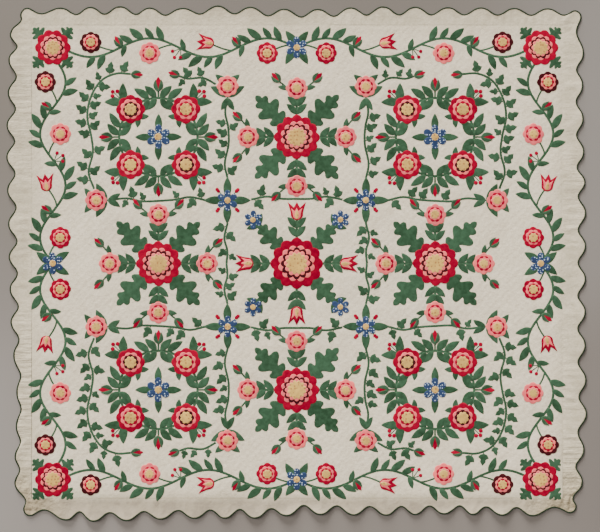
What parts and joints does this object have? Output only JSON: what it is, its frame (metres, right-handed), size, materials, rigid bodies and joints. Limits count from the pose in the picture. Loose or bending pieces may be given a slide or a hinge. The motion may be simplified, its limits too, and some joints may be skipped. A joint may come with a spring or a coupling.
{
  "type": "applique bed quilt",
  "caption": "Cream bed quilt laid flat, with a scalloped edge bound in dark green and applique roses, leaves, wreaths and a wavy vine border.",
  "frame": {"origin": "on the surface that the quilt lies on, under the middle of its overall width and length", "axes": "+X across the quilt to the viewer's right, +Y up its length, +Z out of its face"},
  "size_m": [2.7296, 2.425, 0.0177],
  "materials": {
    "ground_cotton": "matte plain cotton, cream, hand quilted",
    "binding_cotton": "matte plain cotton, dark olive green",
    "green_cotton": "matte plain cotton, leaf green",
    "red_cotton": "matte plain cotton, turkey red",
    "pink_cotton": "matte small print cotton, pink",
    "tan_cotton": "matte small print cotton, tan yellow"
  },
  "bodies": {
    "root": {"quilt": "ground_cotton", "binding_bottom": "binding_cotton", "binding_right": "binding_cotton", "binding_top": "binding_cotton", "binding_left": "binding_cotton", "wreath_a1_rose_1": "red_cotton", "wreath_a1_rose_2": "red_cotton", "wreath_a1_rose_3": "red_cotton", "wreath_a1_rose_4": "red_cotton", "wreath_a1_leaves": "green_cotton", "cross_a2_leaves": "green_cotton", "cross_a2_rose_red": "red_cotton", "cross_a2_rose_pink": "pink_cotton", "cross_a2_rose_tan": "tan_cotton", "wreath_a3_rose_1": "red_cotton", "wreath_a3_rose_2": "red_cotton", "wreath_a3_rose_3": "red_cotton", "wreath_a3_rose_4": "red_cotton", "wreath_a3_leaves": "green_cotton", "cross_b1_leaves": "green_cotton", "cross_b1_rose_red": "red_cotton", "cross_b1_rose_pink": "pink_cotton", "cross_b1_rose_tan": "tan_cotton", "centre_b2_leaves": "green_cotton", "centre_b2_rose_red": "red_cotton", "centre_b2_rose_pink": "pink_cotton", "centre_b2_rose_tan": "tan_cotton", "cross_b3_leaves": "green_cotton", "cross_b3_rose_red": "red_cotton", "cross_b3_rose_pink": "pink_cotton", "cross_b3_rose_tan": "tan_cotton", "wreath_c1_rose_1": "red_cotton", "wreath_c1_rose_2": "red_cotton", "wreath_c1_rose_3": "red_cotton", "wreath_c1_rose_4": "red_cotton", "wreath_c1_leaves": "green_cotton", "cross_c2_leaves": "green_cotton", "cross_c2_rose_red": "red_cotton", "cross_c2_rose_pink": "pink_cotton", "cross_c2_rose_tan": "tan_cotton", "wreath_c3_rose_1": "red_cotton", "wreath_c3_rose_2": "red_cotton", "wreath_c3_rose_3": "red_cotton", "wreath_c3_rose_4": "red_cotton", "wreath_c3_leaves": "green_cotton", "leaf_cross_11": "green_cotton", "corner_rose_11": "red_cotton", "leaf_cross_12": "green_cotton", "corner_rose_12": "red_cotton", "leaf_cross_21": "green_cotton", "corner_rose_21": "red_cotton", "leaf_cross_22": "green_cotton", "corner_rose_22": "red_cotton", "vine_top": "green_cotton", "vine_left": "green_cotton", "vine_bottom": "green_cotton", "vine_right": "green_cotton"}
  },
  "joints": []
}
